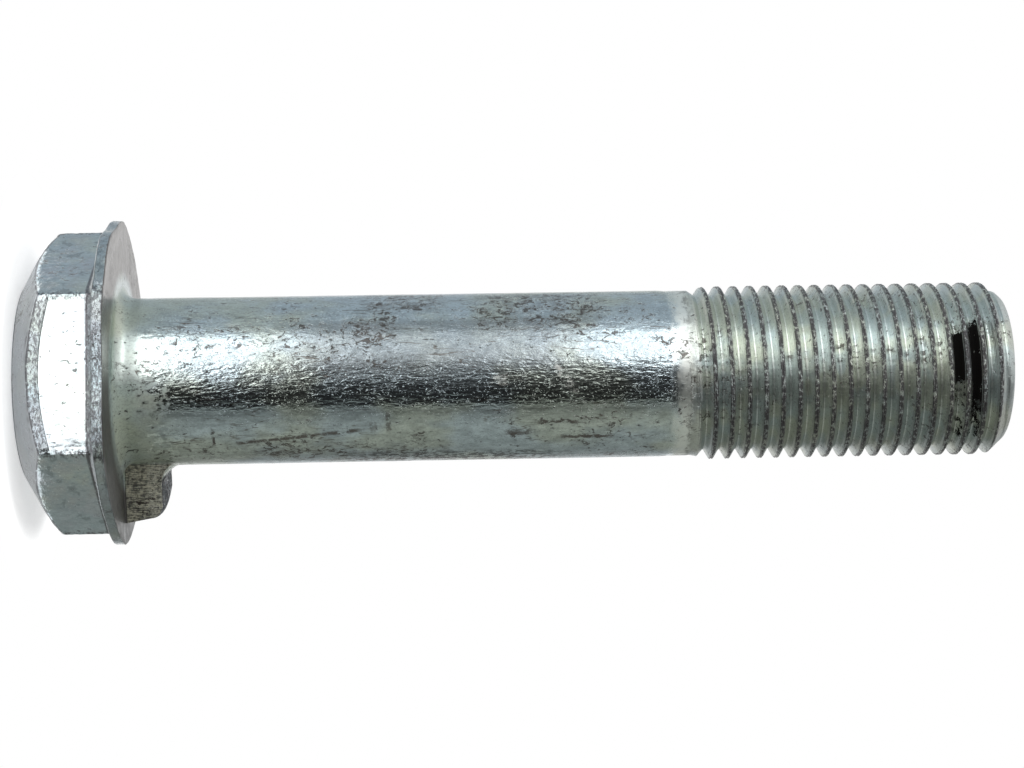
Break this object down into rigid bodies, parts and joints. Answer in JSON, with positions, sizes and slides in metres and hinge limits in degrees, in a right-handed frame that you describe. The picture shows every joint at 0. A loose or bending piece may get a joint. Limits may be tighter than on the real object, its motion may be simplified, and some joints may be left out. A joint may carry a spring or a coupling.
{
  "type": "wheel bolt",
  "caption": "Forged hexagon-head wheel bolt with a thin collar, a locating nib under the head, a plain shank and a fine-threaded end.",
  "frame": {"origin": "centre of the head's flat top, which the bolt stands on", "axes": "+Z runs along the bolt's axis from the head to the thread's tip, a corner of the hexagon points to +X and a flat of the hexagon faces -Y"},
  "size_m": [0.0296, 0.0282, 0.0885],
  "materials": {
    "zinc_plated_steel": "bright zinc plate over as-forged steel, bluish silver with a faint yellow-green tint, rough on the shank and smooth on the thread's flanks"
  },
  "bodies": {
    "root": {"wheel_bolt": "zinc_plated_steel"}
  },
  "joints": []
}
